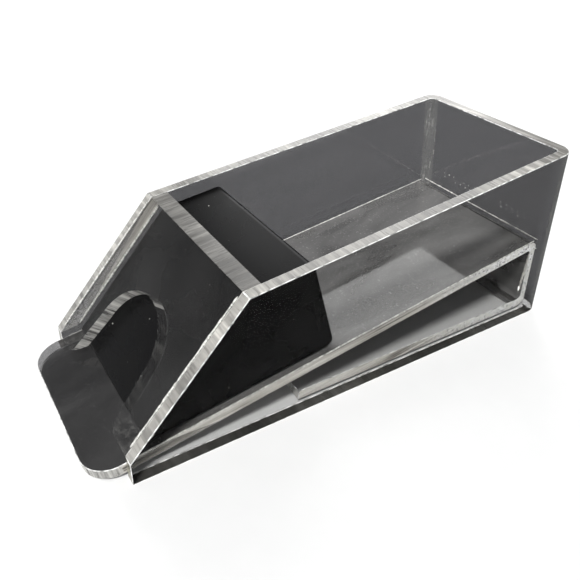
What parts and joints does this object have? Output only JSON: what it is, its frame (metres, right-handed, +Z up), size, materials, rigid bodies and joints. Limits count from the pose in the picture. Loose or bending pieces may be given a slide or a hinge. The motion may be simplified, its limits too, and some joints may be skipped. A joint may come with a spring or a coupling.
{
  "type": "card dealing shoe",
  "caption": "Clear sheet-plastic card dealing shoe with sloping deck, notched face plate and a sliding weighted wedge on rollers that presses the cards forward.",
  "frame": {"origin": "centre of the bounding box's footprint, on the table", "axes": "+X to the dealer's right, +Y from the tongue to the closed end, +Z up"},
  "size_m": [0.104, 0.2752, 0.1042],
  "materials": {
    "clear_sheet": "clear polished acrylic",
    "black_plastic": "satin black",
    "steel": "plain steel",
    "white_plastic": "natural acetal"
  },
  "bodies": {
    "shoe": {"side_wrap": "clear_sheet", "base_sheet": "clear_sheet", "face_plate": "clear_sheet"},
    "block": {"block_shell": "black_plastic", "block_base": "black_plastic", "block_weight": "steel", "base_screws": "steel", "weight_screws": "steel", "front_axle": "steel", "rear_axle": "steel"},
    "front_roller": {"front_roller": "white_plastic"},
    "rear_roller": {"rear_roller": "white_plastic"}
  },
  "joints": [
    {"name": "block_slide", "type": "slide", "parent": "shoe", "child": "block", "axis": [0, 0.9863, 0.165], "range_m": [0, 0.136]},
    {"name": "front_roller_spin", "type": "hinge", "parent": "block", "child": "front_roller", "pos_m": [0, -0.08298, 0.02001], "axis": [1, 0, 0], "continuous": true},
    {"name": "rear_roller_spin", "type": "hinge", "parent": "block", "child": "rear_roller", "pos_m": [0, -0.03169, 0.02859], "axis": [1, 0, 0], "continuous": true}
  ],
  "couplings": [
    {"joint": "front_roller_spin", "follows": "block_slide", "rad_per_m": -200},
    {"joint": "rear_roller_spin", "follows": "block_slide", "rad_per_m": -200}
  ]
}
